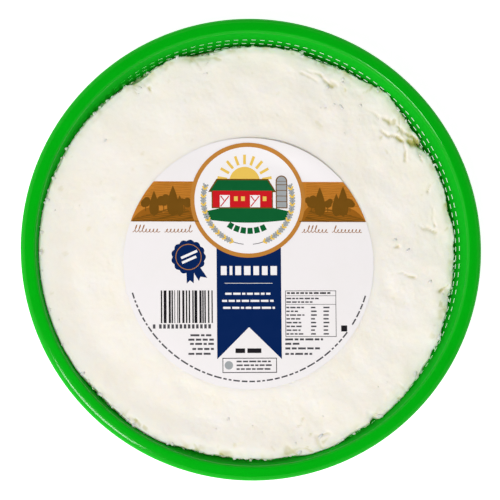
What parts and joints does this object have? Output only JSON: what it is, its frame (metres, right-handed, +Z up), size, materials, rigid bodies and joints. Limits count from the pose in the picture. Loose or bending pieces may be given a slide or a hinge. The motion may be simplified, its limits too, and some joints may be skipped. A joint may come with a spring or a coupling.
{
  "type": "basket of fresh ricotta cheese",
  "caption": "Fresh white ricotta with a soft lumpy top, filling a shallow round green perforated plastic basket with a flat flange, and a round paper label lying on the cheese.",
  "frame": {"origin": "centre of the basket's foot ring, in the plane that it stands on", "axes": "+Z up; +Y towards the top of the label as it is read; +X to the label's right"},
  "size_m": [0.22, 0.22, 0.044],
  "materials": {
    "green_plastic": "smooth moulded green polypropylene, slightly see-through, glossy along the lip",
    "fresh_curd": "moist, soft, matt white curd with cream shade in its dips",
    "label_paper": "smooth coated white paper with plain printed colour fields"
  },
  "bodies": {
    "root": {"basket": "green_plastic", "ricotta": "fresh_curd", "label": "label_paper"}
  },
  "joints": []
}
